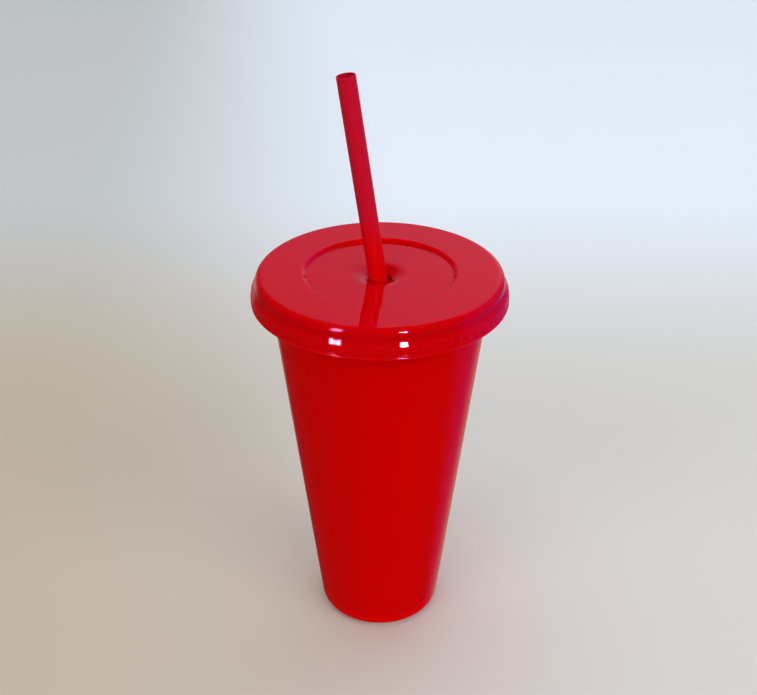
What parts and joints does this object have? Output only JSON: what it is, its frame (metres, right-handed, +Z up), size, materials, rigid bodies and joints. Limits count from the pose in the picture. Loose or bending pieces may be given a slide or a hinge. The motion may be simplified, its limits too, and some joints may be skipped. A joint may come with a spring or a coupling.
{
  "type": "tumbler with lid and straw",
  "caption": "Tapered red plastic cold drink tumbler with a press-on lid, recessed round a central hole, and a straight straw that leans in the hole.",
  "frame": {"origin": "middle of the ring that the cup stands on, at the height of the surface under it", "axes": "+Z up along the cup's axis; the straw's top leans towards -X"},
  "size_m": [0.104, 0.104, 0.2447],
  "materials": {
    "cup_plastic": "semi-gloss moulded polypropylene, opaque red",
    "lid_plastic": "high gloss moulded polypropylene, opaque red",
    "straw_plastic": "satin extruded polypropylene, faintly translucent red"
  },
  "bodies": {
    "cup": {"cup": "cup_plastic"},
    "lid": {"lid": "lid_plastic"},
    "straw": {"straw": "straw_plastic"}
  },
  "joints": [
    {"name": "lid_lift", "type": "slide", "parent": "cup", "child": "lid", "axis": [0, 0, 1], "range_m": [0, 0.165]},
    {"name": "straw_slide", "type": "slide", "parent": "lid", "child": "straw", "axis": [-0.142, 0.0099, 0.9898], "range_m": [0, 0.16]}
  ]
}
